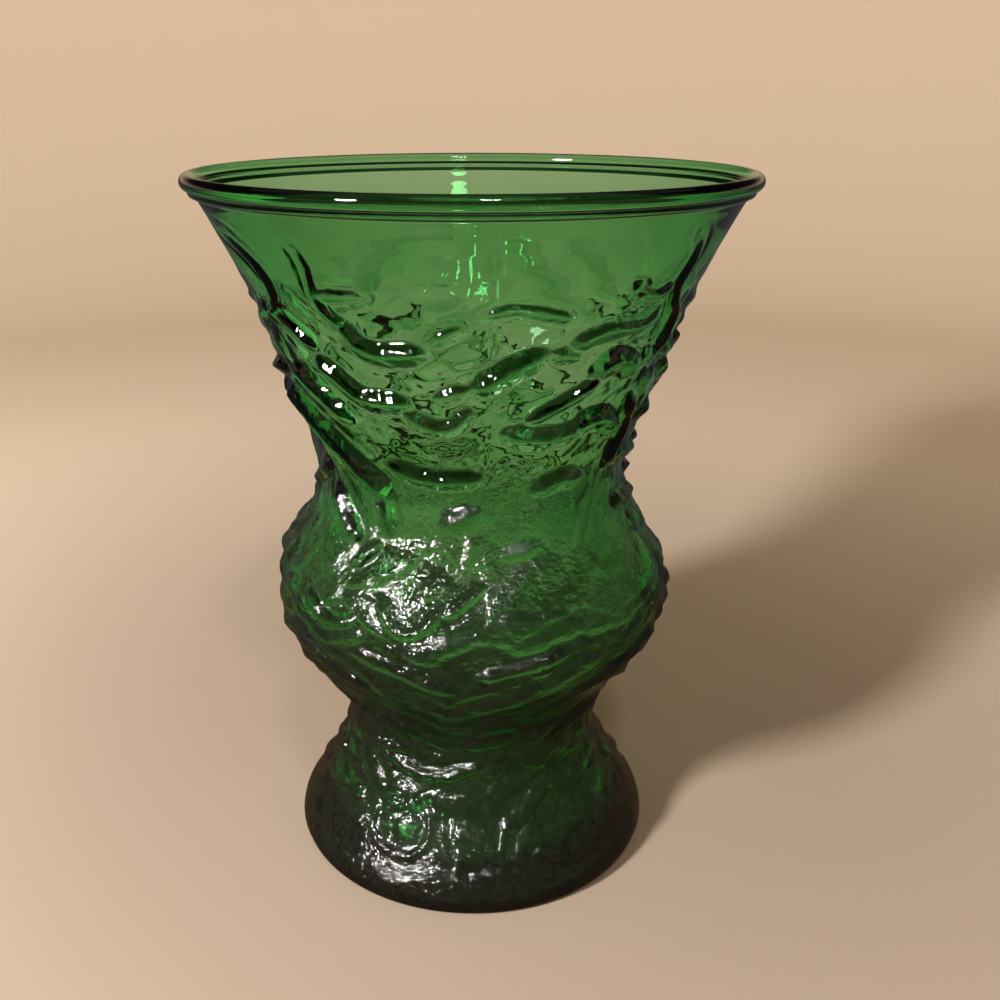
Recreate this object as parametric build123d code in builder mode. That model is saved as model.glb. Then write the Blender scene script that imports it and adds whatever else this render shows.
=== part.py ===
"""Footed bark-relief glass vase: one moulded piece, made here as the smooth body that carries the relief.

Units are millimetres. +Z is up along the vase's axis, and the origin is the centre of the plane it stands on.
Radii are those of the relief's crests, so the body is the smallest smooth shape that holds the real glass.
"""
import os

from build123d import *

# Overall size
HEIGHT = 235.0
RIM_RADIUS = 88.9
FOOT_RADIUS = 64.3

# Outline from the foot up to the rim, each point as (radius, height)
HEEL_TOP = (63.8, 6.0)
FOOT_FLARE = (57.0, 20.0)
FOOT_TOP = (49.8, 32.0)
WAIST = (46.1, 46.5)
BULB_UNDERSIDE = (54.2, 66.0)
BULB_LOWER = (65.3, 82.0)
BULB_EQUATOR = (69.4, 97.5)
BULB_SHOULDER = (65.6, 112.5)
NECK_BASE = (57.2, 126.0)
NECK = (54.4, 140.0)
BELL_LOWER = (61.6, 167.0)
BELL_MIDDLE = (71.4, 197.5)
BELL_UPPER = (80.2, 220.0)
BELL_TOP = (84.6, 228.4)
OUTLINE = [
    HEEL_TOP, FOOT_FLARE, FOOT_TOP, WAIST, BULB_UNDERSIDE, BULB_LOWER, BULB_EQUATOR,
    BULB_SHOULDER, NECK_BASE, NECK, BELL_LOWER, BELL_MIDDLE, BELL_UPPER, BELL_TOP,
]

# Glass thickness, with the wall measured level: the glass is heavier towards the foot, as in any pressed vase,
# and it thins again where the relief ends under the rim
WALL_AT_RIM = 3.0
WALL_AT_BELL = 4.9
WALL_AT_FOOT = 7.0
FLOOR = 8.5

# Lip: a fire-polished bead at the top, and a smaller ring set back under it, with a crease between the two
BEAD_RADIUS = 2.3
RING_RADIUS = 1.6
RING_CENTRE = (85.2, 229.9)

# Heel: a smooth band below the relief, stepped in where the base plate of the mould met its sides
HEEL_BAND = 3.5
HEEL_STEP = 0.5
HEEL_FILLET = 2.4

# Underside: a flat standing ring round a shallow push-up
RING_INNER_RADIUS = 50.0
PUSH_UP = 2.0

# Cavity: its wall follows the outside, and a fillet joins it to the flat floor
CAVITY_CORNER = 6.5

bead_ring_radius = RIM_RADIUS - BEAD_RADIUS
bead_height = HEIGHT - BEAD_RADIUS
heel_radius = FOOT_RADIUS - HEEL_STEP
cavity_foot_radius = HEEL_TOP[0] - WALL_AT_FOOT


def wall_at(height):
    """Level thickness of the wall at this height, which falls faster above the middle of the bell."""
    bell_height = BELL_MIDDLE[1]
    if height < bell_height:
        return WALL_AT_FOOT + (WALL_AT_BELL - WALL_AT_FOOT) * height / bell_height
    return WALL_AT_BELL + (WALL_AT_RIM - WALL_AT_BELL) * (height - bell_height) / (HEIGHT - bell_height)


cavity_outline = [(radius - wall_at(height), height) for radius, height in OUTLINE if height > FLOOR]

with BuildPart() as vase:
    # Outside: a solid of revolution from the standing plane up to the middle of the bead
    with BuildSketch(Plane.XZ) as body_section:
        with BuildLine():
            side = Spline(OUTLINE)
            Polyline(
                side @ 1,
                (bead_ring_radius, bead_height),
                (0, bead_height),
                (0, 0),
                (heel_radius, 0),
                (heel_radius, HEEL_BAND),
                (FOOT_RADIUS, HEEL_BAND),
                side @ 0,
            )
        make_face()
    revolve(axis=Axis.Z)
    heel = vase.edges().filter_by(GeomType.CIRCLE).group_by(Axis.Z)[0]
    fillet(heel, radius=HEEL_FILLET)

    # Cavity: down through the bell, neck, bulb and waist into the hollow foot
    with BuildSketch(Plane.XZ) as cavity_section:
        with BuildLine():
            inner_side = Spline(cavity_outline)
            Polyline(
                inner_side @ 1,
                (bead_ring_radius - BEAD_RADIUS, bead_height),
                (bead_ring_radius, HEIGHT),
                (0, HEIGHT),
                (0, FLOOR),
                (cavity_foot_radius, FLOOR),
                inner_side @ 0,
            )
        make_face()
        floor_corner = cavity_section.vertices().group_by(Axis.Y)[0].sort_by(Axis.X)[-1]
        fillet(floor_corner, radius=CAVITY_CORNER)
    revolve(axis=Axis.Z, mode=Mode.SUBTRACT)

    # Lip: the bead laid on the top of the wall, and the ring that stands out of the wall below it
    with BuildSketch(Plane.XZ) as lip_section:
        with Locations((bead_ring_radius, bead_height)):
            Circle(BEAD_RADIUS)
        with Locations(RING_CENTRE):
            Circle(RING_RADIUS)
    revolve(axis=Axis.Z)

    # Push-up: a shallow dome under the floor, inside the standing ring
    with BuildSketch(Plane.XZ) as push_up_section:
        with BuildLine():
            dome = ThreePointArc((-RING_INNER_RADIUS, 0), (0, PUSH_UP), (RING_INNER_RADIUS, 0))
            Line(dome @ 0, dome @ 1)
        make_face()
        split(bisect_by=Plane.YZ)
    revolve(axis=Axis.Z, mode=Mode.SUBTRACT)

vase.part.label = "glass_vase"
os.makedirs("parts", exist_ok=True)
export_step(vase.part, "parts/glass_vase.step")
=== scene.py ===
"""Looks of a footed green glass vase with a moulded bark relief, on a pale floor under soft studio light.

Blender works in metres, so a length in millimetres is multiplied by MM where it is used.
Bearings round the vase are in degrees, with 0 at the front (-Y) and positive towards +X.
"""
import math

import bpy
import numpy as np
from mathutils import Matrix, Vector
from mathutils.bvhtree import BVHTree


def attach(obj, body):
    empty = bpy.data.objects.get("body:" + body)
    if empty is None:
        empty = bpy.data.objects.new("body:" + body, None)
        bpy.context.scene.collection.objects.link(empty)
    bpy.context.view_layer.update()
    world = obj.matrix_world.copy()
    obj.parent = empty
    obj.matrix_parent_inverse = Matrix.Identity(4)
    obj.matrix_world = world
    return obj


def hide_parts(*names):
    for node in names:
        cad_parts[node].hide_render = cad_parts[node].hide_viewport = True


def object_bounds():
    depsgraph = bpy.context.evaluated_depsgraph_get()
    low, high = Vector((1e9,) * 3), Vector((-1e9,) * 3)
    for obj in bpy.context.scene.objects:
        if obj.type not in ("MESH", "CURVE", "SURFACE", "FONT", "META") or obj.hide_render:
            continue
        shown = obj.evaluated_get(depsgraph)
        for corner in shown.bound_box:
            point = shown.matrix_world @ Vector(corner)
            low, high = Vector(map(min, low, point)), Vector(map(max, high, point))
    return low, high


MM = 0.001

# Mesh fineness of the glass
COLUMNS = 720
OUTER_ROWS = 400
INNER_ROWS = 130

# Where the relief runs, in millimetres above the standing plane
HEEL_TOP = 6.0
BELL_TOP = 228.0

# Mean radius of the relief, which turns bearings into lengths
MEAN_RADIUS = 66.0

# How deep the deepest hollow lies below the smooth outline, in millimetres
RELIEF = 3.4

# Crests may stand this far proud of the smooth outline, in millimetres
PROUD = 0.8

# Height of the neck: the ridges above it are sharp and long, and those below are blunt and short
NECK_HEIGHT = 125
SHARP, BLUNT = 0.16, 0.5

# The scattered ridges: rows of this many round the vase, and the height that none passes
RIDGES_AROUND = 14
HIGHEST_SCATTERED = 200

# The skin turns from satin to clear between these heights, in millimetres
SATIN_FULL, SATIN_GONE = 120, 160
SATIN_AT_HEEL = 0.6

# Glass: colour and strength per metre, then the satin skin's pits, gloss and haze
GLASS_TINT = (0.04, 0.70, 0.22, 1)
GLASS_DENSITY = 335
GLASS_IOR = 1.52
PITS_PER_METRE = 700
PIT_DEPTH = 0.5 * MM
SATIN_ROUGHNESS = 0.09
HAZE_TRANSMISSION = 0.988
HAZE_TINT = (0.86, 1, 0.60, 1)

# Tones of the stage: the paper near the vase, darker there as painted shade, and far off; the table, whose
# glow is painted light; and the room from the wall up, a painted glow, lit low down and fading to painted
# shade higher up
PAPER_PAINTED_SHADE, PAPER_FAR = (0.40, 0.32, 0.25, 1), (0.80, 0.68, 0.54, 1)
TABLE_PAINTED_GLOW = (0.11, 0.06, 0.034, 1)
ROOM_PAINTED_LIGHT, ROOM_PAINTED_SHADE = (0.62, 0.45, 0.30, 1), (0.015, 0.013, 0.011, 1)

# The three mould seams: their bearings and how far they stand out, in millimetres
SEAMS = (-115.5, 4.5, 124.5)
SEAM_RISE = 0.12

# The bold ridges of the front: ((bearing, height), ...), half width and rise in millimetres
FRONT_RIDGES = [
    ([(-72, 222), (-62, 220), (-55, 215), (-50, 207), (-52, 200), (-58, 196)], 4.4, 2.9),
    ([(-57, 199), (-49, 196), (-42, 190)], 4.1, 2.9),
    ([(-37, 222), (-35, 214), (-36.5, 207), (-34, 201), (-29, 197)], 3.9, 3.0),
    ([(-38, 206), (-30, 207), (-23, 207)], 3.4, 2.6),
    ([(-31, 199), (-28, 192), (-21, 190), (-12, 191.5)], 4.0, 3.3),
    ([(-9, 195), (-5, 198), (-2, 199.5)], 3.2, 2.1),
    ([(3, 203), (9, 205), (15, 203), (22, 201)], 3.3, 2.8),
    ([(-9, 178), (-1, 180.5)], 2.5, 1.8),
    ([(1, 181), (7, 184.5), (12, 188), (17, 190.5)], 4.5, 3.2),
    ([(20, 190.5), (26, 189)], 3.2, 2.0),
    ([(25, 193), (33, 197), (42, 195), (48, 199)], 3.7, 2.5),
    ([(33, 184), (40, 187), (47, 182)], 4.8, 2.8),
    ([(-42, 185), (-36, 181), (-30, 175), (-18, 175.5)], 4.1, 2.8),
    ([(-18, 172), (-12, 168), (-5, 168), (-1, 173)], 3.2, 2.1),
    ([(-68, 170), (-56, 163), (-47, 157), (-39, 150), (-29, 143)], 5.8, 3.3),
    ([(-26, 153.5), (-14, 150), (2, 151)], 3.8, 2.6),
    ([(-54, 181), (-46, 174), (-37, 168)], 4.4, 2.8),
    ([(16, 170.5), (25, 175), (34, 180)], 2.9, 2.4),
    ([(10, 166), (20, 163), (32, 165)], 4.4, 2.2),
    ([(30, 166), (39, 169), (48, 162)], 4.6, 2.9),
    ([(21, 146), (29, 149), (37, 148)], 3.9, 2.4),
    ([(-9, 135.5), (-4, 138), (1, 140)], 4.5, 2.6),
    ([(-33, 142), (-30, 137), (-29, 132)], 4.1, 3.0),
    ([(-53, 141), (-49, 134), (-41, 129)], 4.1, 3.0),
    ([(-39, 121), (-32, 127)], 2.8, 2.2),
    ([(-26, 114), (-20, 105), (-13, 107), (-9, 113)], 2.6, 1.8),
    ([(-7, 112), (3, 119)], 2.2, 1.8),
    ([(48, 224), (55, 216), (51, 205), (58, 196), (56, 186)], 4.6, 2.9),
    ([(36, 210), (43, 204), (50, 207)], 3.7, 2.4),
    ([(50, 172), (55, 160), (50, 150)], 4.4, 2.6),
    ([(-52, 108), (-43, 103), (-34, 106)], 3.0, 2.0),
    ([(2, 93), (12, 95), (25, 98)], 2.6, 1.7),
    ([(10, 127), (22, 129)], 2.5, 1.5),
    ([(-40, 28), (-39, 20), (-30, 15.5), (-20, 16.5), (-15, 22), (-17, 29)], 1.8, 1.3),
    ([(-11, 27), (-9, 18), (-2, 17)], 1.7, 1.2),
    ([(-42, 46), (-30, 42), (-14, 41), (2, 46)], 2.6, 2.0),
    ([(12, 27), (10, 17)], 1.6, 1.0),
]

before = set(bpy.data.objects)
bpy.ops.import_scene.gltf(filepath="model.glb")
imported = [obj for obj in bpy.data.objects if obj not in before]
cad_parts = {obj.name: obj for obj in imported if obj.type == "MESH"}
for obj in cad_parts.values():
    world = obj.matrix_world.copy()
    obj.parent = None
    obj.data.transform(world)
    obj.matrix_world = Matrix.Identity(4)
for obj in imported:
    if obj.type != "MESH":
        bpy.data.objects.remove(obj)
cad_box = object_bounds()
vase_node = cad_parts["glass_vase"]


# ---------------------------------------------------------------- noise

def lattice_noise(points, seed):
    """Smooth gradient noise, about -1 to 1, at an array of 3-D points."""
    draw = np.random.default_rng(seed)
    shuffle = draw.permutation(256)
    gradients = draw.normal(size=(256, 3))
    gradients /= np.linalg.norm(gradients, axis=1, keepdims=True)
    cell = np.floor(points).astype(int)
    inside = points - cell
    fade = inside ** 3 * (inside * (inside * 6 - 15) + 10)
    total = np.zeros(points.shape[:-1])
    for corner in np.ndindex(2, 2, 2):
        i, j, k = ((cell[..., axis] + corner[axis]) & 255 for axis in range(3))
        slope = gradients[shuffle[(shuffle[(shuffle[i] + j) & 255] + k) & 255]]
        weight, dot = 1.0, 0.0
        for axis in range(3):
            weight = weight * (fade[..., axis] if corner[axis] else 1 - fade[..., axis])
            dot = dot + slope[..., axis] * (inside[..., axis] - corner[axis])
        total += weight * dot
    return total * 1.6


def fractal_noise(points, seed, octaves=2, gain=0.45):
    """Lattice noise with finer and weaker layers added."""
    total = 0.0
    for octave in range(octaves):
        total = total + gain ** octave * lattice_noise(points * 2.03 ** octave, seed + octave)
    return total


def smooth_step(value, low, high):
    t = np.clip((value - low) / (high - low), 0, 1)
    return t * t * (3 - 2 * t)


# ---------------------------------------------------------------- relief

def plates(across, up, count, seed, crispness):
    """Uneven tilted plates with a crease between neighbours, on a jittered lattice closed round the vase."""
    draw = np.random.default_rng(seed)
    rows = 64
    shift = draw.uniform(-0.42, 0.42, (2, count, rows))
    level = draw.uniform(0, 1, (count, rows))
    tilt = draw.uniform(-1, 1, (2, count, rows))
    total, weights = np.zeros(up.shape), np.full(up.shape, 1e-12)
    nearest, second = np.full(up.shape, 9.0), np.full(up.shape, 9.0)
    for i_step in (-1, 0, 1):
        for j_step in (-1, 0, 1):
            i, j = np.floor(across).astype(int) + i_step, np.floor(up).astype(int) + j_step
            cell = (i % count, j % rows)
            x = across - i - 0.5 - shift[0][cell]
            y = up - j - 0.5 - shift[1][cell]
            gap = np.hypot(x, y)
            weight = np.exp(-crispness * gap ** 2)
            total += weight * (level[cell] + 0.8 * tilt[0][cell] * x + 0.8 * tilt[1][cell] * y)
            weights += weight
            second = np.minimum(second, np.maximum(nearest, gap))
            nearest = np.minimum(nearest, gap)
    return total / weights, smooth_step(second - nearest, 0, 0.4)


def rounded(path, times=3):
    """Cuts the corners of a path until it looks like one smooth curve."""
    for _ in range(times):
        a, b = path[:-1], path[1:]
        cut = np.stack([0.75 * a + 0.25 * b, 0.25 * a + 0.75 * b], 1).reshape(-1, 2)
        path = np.concatenate([path[:1], cut, path[-1:]])
    return path


def scattered_ridges():
    """More ridges like those of the front for the rest of the vase, laid along the grain of the bark."""
    draw = np.random.default_rng(5)
    ridges = []
    for height in np.arange(24, 210, 12.5):
        size = 1.0 if height > NECK_HEIGHT else 0.75
        for place in range(RIDGES_AROUND):
            bearing = (place + draw.uniform(-0.4, 0.4)) * 360 / RIDGES_AROUND - 180
            middle = height + draw.uniform(-5, 5)
            length = draw.uniform(9, 21) * size
            climb = 0.35 * np.sign((bearing + 65) % 120 - 60) + draw.uniform(-0.3, 0.3)
            bow, hook = draw.uniform(-3, 3), draw.uniform(-7, 7) * (draw.uniform() < 0.35)
            half_width = draw.uniform(2.8, 4.8)
            rise = draw.uniform(1.8, 3.0) * (1.0 if NECK_HEIGHT < height < 175 else 0.7)
            shown = draw.uniform() < 0.85
            laid_by_hand = (-62 < bearing < 58 and height > 88) or (-45 < bearing < 15 and height < 50)
            if not shown or laid_by_hand:
                continue
            steps = np.array([-1, -0.35, 0.35, 1])
            offset = climb * length * steps + bow * (1 - steps ** 2) + hook * (steps > 0.9)
            offset = offset - max(middle + offset.max() - HIGHEST_SCATTERED, 0)
            ridges.append((list(zip(bearing + length * steps, middle + offset)), half_width, rise))
    return ridges


def lay_ridge(relief, cover, bearings, heights, radii, wobble, ridge):
    """Raises one round-topped ridge on the relief, and marks the surface that it takes over."""
    path, half_width, rise = ridge
    path = rounded(np.array(path, float))
    reach = 10
    middle = path[:, 0].mean()
    aside = (bearings - middle + 180) % 360 - 180
    rows = np.flatnonzero((heights > path[:, 1].min() - reach) & (heights < path[:, 1].max() + reach))
    columns = np.flatnonzero(np.abs(aside) < np.abs(path[:, 0] - middle).max() + 1.3 * reach)
    window = np.ix_(rows, columns)
    x = np.radians(aside[columns])[None, :] * radii[rows, None]
    here = np.stack([x, np.broadcast_to(heights[rows, None], x.shape)], -1)
    path[:, 0] = np.radians(path[:, 0] - middle) * np.interp(path[:, 1], heights, radii)
    lengths = np.linalg.norm(np.diff(path, axis=0), axis=1)
    before = np.concatenate([[0], np.cumsum(lengths)])
    nearest, place = np.full(x.shape, 1e9), np.zeros(x.shape)
    for k, length in enumerate(lengths):
        step = path[k + 1] - path[k]
        along = np.clip((here - path[k]) @ step / length ** 2, 0, 1)
        gap = np.linalg.norm(here - path[k] - along[..., None] * step, axis=-1)
        closer = gap < nearest
        nearest = np.where(closer, gap, nearest)
        place = np.where(closer, before[k] + along * length, place)
    # Steep flanks up to a rounded crest, which is sharper on the bell. The ends are lower, the edges wander
    end = np.clip(np.minimum(place, before[-1] - place) / 6 + 0.6, 0, 1)
    gap = np.clip(nearest + wobble[window], 0, None)
    width = half_width * end
    blunt = half_width * (SHARP if path[:, 1].mean() > NECK_HEIGHT else BLUNT)
    fall = (np.hypot(blunt, gap) - blunt) / (np.hypot(blunt, width) - blunt)
    shape = rise * end * np.clip(1 - fall, 0, 1)
    relief[window] = np.maximum(relief[window], shape)
    cover[window] = np.maximum(cover[window], smooth_step(-nearest, -half_width - 5, -half_width))


def relief_depth(bearings, heights, radii):
    """Depth of the outer surface below the smooth outline, in millimetres, by height and bearing."""
    turn = np.radians(bearings)[None, :]
    rise = heights[:, None]
    bell = smooth_step(rise, 120, 150)
    foot = 1 - smooth_step(rise, 40, 58)

    # The grain climbs away from the middle of each third of the mould, like bark round a branch
    swing = np.abs((bearings[None, :] + 5 + 60) % 120 - 60)
    lean = rise - 0.36 * np.sqrt(swing ** 2 + 60) * smooth_step(rise, 110, 160)
    around = np.broadcast_to(bearings[None, :] / 360, lean.shape)

    def grain(across, up):
        scale = MEAN_RADIUS / across
        return np.stack(np.broadcast_arrays(scale * np.cos(turn), scale * np.sin(turn), lean / up), -1)

    bend = 0.3 * fractal_noise(grain(22, 14), 11, 3)
    sway = 0.3 * fractal_noise(grain(22, 14), 15, 3)
    rough = 1 - 0.7 * bell * (1 - smooth_step(swing, 20, 44))

    # Broad plates, then smaller ones inside them
    level, crease = plates(around * 19 + bend, lean / 13 + sway, 19, 21, 8)
    height = rough * ((1.9 - 0.6 * bell) * level + (0.7 - 0.5 * bell) * crease)
    level, crease = plates(around * 37 - 1.3 * bend, lean / 7.2 + 1.3 * sway, 37, 31, 14)
    height = height + (0.3 + 0.4 * (1 - bell)) * level + 0.25 * crease * (1 - 0.7 * bell)
    height = height + 0.3 * fractal_noise(grain(17, 11), 41) + 0.07 * fractal_noise(grain(4, 3), 45)
    height = height + 0.08 * (1 - bell) * fractal_noise(grain(1.9, 1.7), 47)

    ridges, cover = np.zeros(lean.shape), np.zeros(lean.shape)
    wobble = 0.5 * fractal_noise(grain(7, 6), 51)
    wobble = wobble + (0.1 + 0.15 * bell) * fractal_noise(grain(2.6, 2.6), 55)
    for ridge in FRONT_RIDGES + scattered_ridges():
        lay_ridge(ridges, cover, bearings, heights, radii, wobble, ridge)
    height = height * (1 - 0.35 * cover) + ridges

    # The relief dies away under the rim, the bold ridges last, and at the heel
    bold = smooth_step(ridges, 0.2, 1.4)
    below_rim = BELL_TOP - rise
    shown = smooth_step(below_rim, 6, 40) * (1 - bold) + smooth_step(below_rim, 2, 20) * bold
    shown = shown * smooth_step(rise, HEEL_TOP, HEEL_TOP + 8) * (1 - 0.15 * foot)
    return np.clip(RELIEF - height, -PROUD, RELIEF) * shown


# ---------------------------------------------------------------- profile of the glass

def soften(values, times=3):
    """Evens out the small facets of the frame's mesh."""
    values = np.array(values)
    for _ in range(times):
        values[1:-1] = 0.25 * values[:-2] + 0.5 * values[1:-1] + 0.25 * values[2:]
    return values


def profile_from_frame():
    """Closed section of the vase as (radius, height, relief or not) rows in metres: from the middle of the
    underside outwards, up the outside, over the bead and down the inside to the middle of the floor."""
    tree = BVHTree.FromObject(vase_node, bpy.context.evaluated_depsgraph_get())
    sideways = Vector((0.01745, 0.99985, 0)).normalized()

    def outer_radius(height):
        hit = tree.ray_cast(sideways * 0.3 + Vector((0, 0, height)), -sideways)[0]
        return math.hypot(hit.x, hit.y)

    def inner_radius(height):
        hit = tree.ray_cast(Vector((0, 0, height)), sideways)[0]
        return math.hypot(hit.x, hit.y)

    def lip_point(angle):
        away = sideways * math.cos(angle) + Vector((0, 0, math.sin(angle)))
        hit = tree.ray_cast(sideways * lip_middle[0] + Vector((0, 0, lip_middle[1])), away)[0]
        return math.hypot(hit.x, hit.y), hit.z, 0

    def below(radius):
        return max(tree.ray_cast(sideways * radius + Vector((0, 0, -0.05)), Vector((0, 0, 1)))[0].z, 0)

    def above(radius):
        return tree.ray_cast(sideways * radius + Vector((0, 0, 0.03)), Vector((0, 0, -1)))[0].z

    # Underside: a shallow push-up, the standing ring and the rounded heel
    ring_inner, ring_outer = 50 * MM, 61.4 * MM
    rows = [(radius, below(radius), 0) for radius in np.linspace(0, ring_inner, 10)[1:]]
    rows += [(radius, 0, 0) for radius in np.linspace(ring_inner, ring_outer, 7)[1:]]
    heel = np.array([0.12, 0.45, 0.95, 1.6, 2.3, 2.9, 3.3, 3.6, 4.2, 5.0]) * MM
    rows += [(outer_radius(h), h, 0) for h in heel]
    heights = np.linspace(HEEL_TOP * MM, BELL_TOP * MM, OUTER_ROWS)
    rows += [(r, h, 1) for r, h in zip(soften([outer_radius(h) for h in heights]), heights)]
    # Lip: round from the bell's outside, over the set-back ring and the bead, to the inside of the wall
    lip_middle = (85.6 * MM, 231.2 * MM)
    rows += [lip_point(angle) for angle in np.radians(np.linspace(-108, 205, 76))]
    # Inside: bell, neck, bulb, waist and foot, then the corner and the floor
    floor = above(0.0)
    corner = 6.5 * MM
    heights = np.linspace(rows[-1][1] - 0.8 * MM, floor + corner, INNER_ROWS)
    rows += [(r, h, 0) for r, h in zip(soften([inner_radius(h) for h in heights]), heights)]
    for drop in np.linspace(0.15, math.pi / 2 - 0.02, 10):
        height = floor + corner * (1 - math.sin(drop))
        rows.append((inner_radius(height), height, 0))
    edge = rows[-1][0]
    rows += [(r, floor, 0) for r in np.linspace(edge, 0, 12)[1:-1]]
    return np.array(rows)


def closed_mesh(name, rings, low_pole, high_pole):
    """A closed tube of rings, each a row of points, shut at both ends by a fan."""
    count, columns = rings.shape[:2]
    points = np.concatenate([rings.reshape(-1, 3), [low_pole, high_pole]])
    column = np.arange(columns)
    beside = (column + 1) % columns
    row = np.arange(count - 1)[:, None] * columns
    quads = np.stack([row + column, row + beside, row + columns + beside, row + columns + column], -1)
    low, high = count * columns, count * columns + 1
    last = (count - 1) * columns
    low_fan = np.stack([np.full(columns, low), beside, column], -1)
    high_fan = np.stack([np.full(columns, high), last + column, last + beside], -1)
    corners = np.concatenate([quads.ravel(), low_fan.ravel(), high_fan.ravel()])
    sizes = np.concatenate([np.full(quads.size // 4, 4), np.full(2 * columns, 3)])
    mesh = bpy.data.meshes.new(name)
    mesh.vertices.add(len(points))
    mesh.vertices.foreach_set("co", points.ravel())
    mesh.loops.add(len(corners))
    mesh.loops.foreach_set("vertex_index", corners)
    mesh.polygons.add(len(sizes))
    mesh.polygons.foreach_set("loop_start", np.cumsum(sizes) - sizes)
    mesh.update(calc_edges=True)
    mesh.shade_smooth()
    return mesh


def build_glass():
    rows = profile_from_frame()
    bearings = np.arange(COLUMNS) * 360 / COLUMNS - 180
    turn = np.radians(bearings)[None, :]
    radii = np.repeat(rows[:, :1], COLUMNS, axis=1)
    outer = rows[:, 2] > 0
    radii[outer] -= relief_depth(bearings, rows[outer, 1] / MM, rows[outer, 0] / MM) * MM
    # Mould seams: three hair-fine raised lines
    for bearing in SEAMS:
        radii[outer, round((bearing + 180) / 360 * COLUMNS)] += SEAM_RISE * MM
    # The inside was formed by air, so it only rolls gently
    inside = np.arange(len(rows)) > rows[:, 0].argmax()
    heights = rows[inside, 1:2] / MM
    roll = np.stack(np.broadcast_arrays(
        MEAN_RADIUS / 26 * np.cos(turn), MEAN_RADIUS / 26 * np.sin(turn), heights / 20), -1)
    calm = smooth_step(heights, 12, 30) * smooth_step(-heights, -226, -205)
    radii[inside] += 0.3 * MM * fractal_noise(roll, 91) * calm
    z = np.repeat(rows[:, 1:2], COLUMNS, axis=1)
    rings = np.stack([radii * np.sin(turn), -radii * np.cos(turn), z], -1)
    mesh = closed_mesh("vase_glass", rings, (0, 0, rows[0, 1]), (0, 0, rows[-1, 1]))
    # The mould left a satin skin on the outside of the lower half, and none on the bell or the inside
    satin = np.where(outer, 1 - smooth_step(rows[:, 1] / MM, SATIN_FULL, SATIN_GONE), 0)
    satin[~outer & ~inside & (rows[:, 1] < HEEL_TOP * MM)] = SATIN_AT_HEEL
    marks = mesh.attributes.new("satin", "FLOAT", "POINT")
    marks.data.foreach_set("value", np.concatenate([np.repeat(satin, COLUMNS), [0, 0]]))
    vase = bpy.data.objects.new("vase_glass", mesh)
    bpy.context.scene.collection.objects.link(vase)
    return vase


# ---------------------------------------------------------------- materials

def new_material(name):
    material = bpy.data.materials.new(name)
    material.use_nodes = True
    nodes, links = material.node_tree.nodes, material.node_tree.links
    nodes.clear()
    output = nodes.new("ShaderNodeOutputMaterial")
    shader = nodes.new("ShaderNodeBsdfPrincipled")
    links.new(shader.outputs["BSDF"], output.inputs["Surface"])
    return material, nodes, links, shader, output


def map_range(nodes, links, source, low, high, start=0.0, end=1.0):
    """Carries a value from low..high over to start..end."""
    step = nodes.new("ShaderNodeMapRange")
    step.inputs["From Min"].default_value = low
    step.inputs["From Max"].default_value = high
    step.inputs["To Min"].default_value = start
    step.inputs["To Max"].default_value = end
    links.new(source, step.inputs["Value"])
    return step


def blend_colours(nodes, links, share, first, second):
    """Goes from the first colour to the second as the share goes from 0 to 1."""
    mix = nodes.new("ShaderNodeMix")
    mix.data_type = "RGBA"
    colour_a, colour_b = [socket for socket in mix.inputs if socket.type == "RGBA"]
    colour_a.default_value, colour_b.default_value = first, second
    links.new(share, mix.inputs["Factor"])
    return next(socket for socket in mix.outputs if socket.type == "RGBA")


def green_glass():
    """Clear green glass, coloured by its volume, with a satin skin where the mesh marks one."""
    material, nodes, links, shader, output = new_material("green_glass")
    shader.inputs["IOR"].default_value = GLASS_IOR
    absorb = nodes.new("ShaderNodeVolumeAbsorption")
    absorb.inputs["Color"].default_value = GLASS_TINT
    absorb.inputs["Density"].default_value = GLASS_DENSITY
    links.new(absorb.outputs["Volume"], output.inputs["Volume"])

    # Fine pits all over the satin skin, and a slightly blurred gloss
    satin = nodes.new("ShaderNodeAttribute")
    satin.attribute_name = "satin"
    coordinates = nodes.new("ShaderNodeTexCoord")
    grain = nodes.new("ShaderNodeTexNoise")
    grain.inputs["Scale"].default_value = PITS_PER_METRE
    grain.inputs["Detail"].default_value = 2
    links.new(coordinates.outputs["Object"], grain.inputs["Vector"])
    bump = nodes.new("ShaderNodeBump")
    bump.inputs["Distance"].default_value = PIT_DEPTH
    links.new(satin.outputs["Fac"], bump.inputs["Strength"])
    links.new(grain.outputs["Fac"], bump.inputs["Height"])
    links.new(bump.outputs["Normal"], shader.inputs["Normal"])
    gloss = map_range(nodes, links, satin.outputs["Fac"], 0, 1, 0, SATIN_ROUGHNESS)
    links.new(gloss.outputs["Result"], shader.inputs["Roughness"])

    # The pits scatter a trace of light back, in specks a little warmer than the glass
    speck = map_range(nodes, links, grain.outputs["Fac"], 0.25, 0.75)
    pitted = nodes.new("ShaderNodeMath")
    pitted.operation = "MULTIPLY"
    links.new(satin.outputs["Fac"], pitted.inputs[0])
    links.new(speck.outputs["Result"], pitted.inputs[1])
    clear = map_range(nodes, links, pitted.outputs["Value"], 0, 1, 1, HAZE_TRANSMISSION)
    links.new(clear.outputs["Result"], shader.inputs["Transmission Weight"])
    tint = blend_colours(nodes, links, pitted.outputs["Value"], (1, 1, 1, 1), HAZE_TINT)
    links.new(tint, shader.inputs["Base Color"])
    return material


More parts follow.
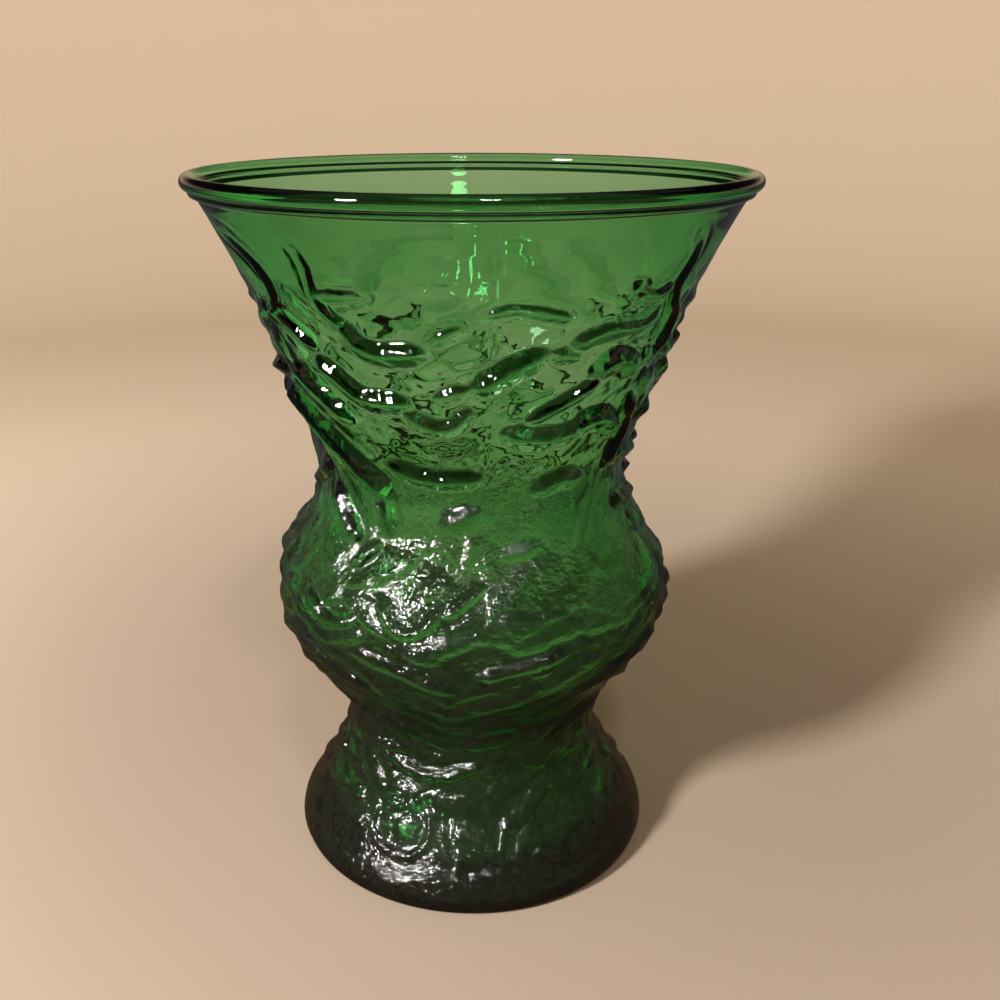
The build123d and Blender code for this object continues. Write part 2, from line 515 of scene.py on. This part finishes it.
def pale_paper():
    """Warm matt paper: painted shade, a deeper tone, on the floor round the vase, and pale further out and up
    the wall.
    """
    material, nodes, links, shader, _ = new_material("pale_paper")
    coordinates = nodes.new("ShaderNodeTexCoord")
    place = nodes.new("ShaderNodeSeparateXYZ")
    links.new(coordinates.outputs["Object"], place.inputs["Vector"])
    flat = nodes.new("ShaderNodeVectorMath")
    flat.operation = "MULTIPLY"
    flat.inputs[1].default_value = (1, 1, 0)
    links.new(coordinates.outputs["Object"], flat.inputs[0])
    far = nodes.new("ShaderNodeVectorMath")
    far.operation = "LENGTH"
    links.new(flat.outputs["Vector"], far.inputs[0])
    spread = nodes.new("ShaderNodeMath")
    spread.operation = "ADD"
    links.new(far.outputs["Value"], spread.inputs[0])
    links.new(place.outputs["Z"], spread.inputs[1])
    # The ramp runs over 3 m of distance and height together
    reach = nodes.new("ShaderNodeMath")
    reach.operation = "DIVIDE"
    reach.inputs[1].default_value = 3.0
    links.new(spread.outputs["Value"], reach.inputs[0])
    # Painted shade: the ramp darkens the paper near the vase and leaves it pale further out and up the wall
    ramp = nodes.new("ShaderNodeValToRGB")
    ramp.color_ramp.interpolation = "EASE"
    elements = ramp.color_ramp.elements
    elements[0].position = 0.03
    elements[0].color = PAPER_PAINTED_SHADE
    elements[1].position = 0.20
    elements[1].color = PAPER_FAR
    links.new(reach.outputs["Value"], ramp.inputs["Fac"])
    links.new(ramp.outputs["Color"], shader.inputs["Base Color"])
    shader.inputs["Roughness"].default_value = 1
    shader.inputs["Specular IOR Level"].default_value = 0
    return material


# ---------------------------------------------------------------- studio

def studio():
    """A round pale floor that curves up into a wall all round."""
    floor_radius, cove, wall_top = 0.95, 0.4, 1.3
    level = -0.0004
    outline = [(0.0001, level), (0.3, level), (0.6, level), (floor_radius, level)]
    for angle in np.radians(np.linspace(8, 90, 12)):
        outline.append((floor_radius + cove * math.sin(angle), level + cove * (1 - math.cos(angle))))
    outline.append((floor_radius + cove, wall_top))
    steps = 128
    points, faces = [], []
    for radius, height in outline:
        for k in range(steps):
            turn = 2 * math.pi * k / steps
            points.append((radius * math.cos(turn), radius * math.sin(turn), height))
    for i in range(len(outline) - 1):
        for k in range(steps):
            m = (k + 1) % steps
            faces.append((i * steps + k, i * steps + m, (i + 1) * steps + m, (i + 1) * steps + k))
    mesh = bpy.data.meshes.new("studio")
    mesh.from_pydata(points, [], faces)
    mesh.shade_smooth()
    bowl = bpy.data.objects.new("studio", mesh)
    bpy.context.scene.collection.objects.link(bowl)
    mesh.materials.append(pale_paper())
    bowl.visible_glossy = False


def room():
    """A dark round table top and the room above the wall, both painted light that glows though it is no lamp:
    the table glows with a lit table's tone, and the room glows pale low down and grows dim with height, as
    painted shade. Only rays that have met the glass can see them: the studio stays plain and pale, and the
    glass looks as deep as in a room."""
    steps = 96
    turns = [2 * math.pi * k / steps for k in range(steps)]
    radius, middle, level = 0.31, -0.042, -0.0002
    table = [(radius * math.cos(t), middle + radius * math.sin(t), level) for t in turns]
    # Painted light: the table top glows with the tone of a lit table, and no lamp lights it
    painted_glow_part("table", table, [list(range(steps))], TABLE_PAINTED_GLOW)
    radius, low, high = 1.30, 0.28, 1.29
    rings = [(radius * math.cos(t), radius * math.sin(t), z) for z in (low, high) for t in turns]
    faces = [(k, (k + 1) % steps, steps + (k + 1) % steps, steps + k) for k in range(steps)]
    nodes, links, shader = painted_glow_part("upper_room", rings, faces, ROOM_PAINTED_SHADE)
    # Painted light and shade: the room glows pale up to about 0.25 m and fades to a dim glow by 0.60 m
    coordinates = nodes.new("ShaderNodeTexCoord")
    place = nodes.new("ShaderNodeSeparateXYZ")
    links.new(coordinates.outputs["Object"], place.inputs["Vector"])
    climb = map_range(nodes, links, place.outputs["Z"], 0.25, 0.60)
    climb.interpolation_type = "SMOOTHSTEP"
    glow = blend_colours(nodes, links, climb.outputs["Result"], ROOM_PAINTED_LIGHT, ROOM_PAINTED_SHADE)
    links.new(glow, shader.inputs["Emission Color"])


def painted_glow_part(name, points, faces, glow):
    """A part of the stage whose tone is painted light: it glows though it is no lamp, and only rays that have
    met the glass can see it.
    """
    mesh = bpy.data.meshes.new(name)
    mesh.from_pydata(points, [], faces)
    material, nodes, links, shader, _ = new_material(name)
    shader.inputs["Base Color"].default_value = (0, 0, 0, 1)
    shader.inputs["Specular IOR Level"].default_value = 0
    shader.inputs["Emission Color"].default_value = glow
    shader.inputs["Emission Strength"].default_value = 1
    material.cycles.emission_sampling = "NONE"
    mesh.materials.append(material)
    part = bpy.data.objects.new(name, mesh)
    part.visible_camera = part.visible_diffuse = False
    part.visible_shadow = part.visible_volume_scatter = False
    bpy.context.scene.collection.objects.link(part)
    return nodes, links, shader


def area_light(name, bearing, elevation, distance, width, power, colour):
    data = bpy.data.lights.new(name, "AREA")
    data.shape = "DISK"
    data.size = width
    data.energy = power
    data.color = colour
    light = bpy.data.objects.new(name, data)
    b, e = math.radians(bearing), math.radians(elevation)
    aim = Vector((0, 0, 0.12))
    away = Vector((math.sin(b) * math.cos(e), -math.cos(b) * math.cos(e), math.sin(e)))
    light.location = aim + distance * away
    light.rotation_euler = (aim - light.location).to_track_quat("-Z", "Y").to_euler()
    light.visible_camera = False
    bpy.context.scene.collection.objects.link(light)


def lights():
    area_light("key", -46, 25, 1.05, 0.16, 21, (1.0, 0.95, 0.90))
    area_light("fill", 8, 52, 1.3, 0.14, 3, (1.0, 0.95, 0.9))
    world = bpy.data.worlds.new("room")
    world.use_nodes = True
    world.node_tree.nodes["Background"].inputs["Color"].default_value = (0.085, 0.082, 0.08, 1)
    bpy.context.scene.world = world


def camera():
    """The viewer stands 0.35 m in front of the axis and a little above the mouth, looking down."""
    data = bpy.data.cameras.new("camera")
    data.sensor_width = 36
    data.lens = 38.88
    data.shift_x = 0.028
    height = cad_box[1][2]
    view = bpy.data.objects.new("camera", data)
    view.location = (0, -1.493 * height, 1.10 * height)
    view.rotation_euler = (math.radians(90 - 20.9), 0, 0)
    bpy.context.scene.collection.objects.link(view)
    bpy.context.scene.camera = view


vase = build_glass()
vase.data.materials.append(green_glass())
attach(vase, "root")
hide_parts("glass_vase")
studio()
room()
lights()
camera()
bpy.context.scene.view_settings.view_transform = "Standard"
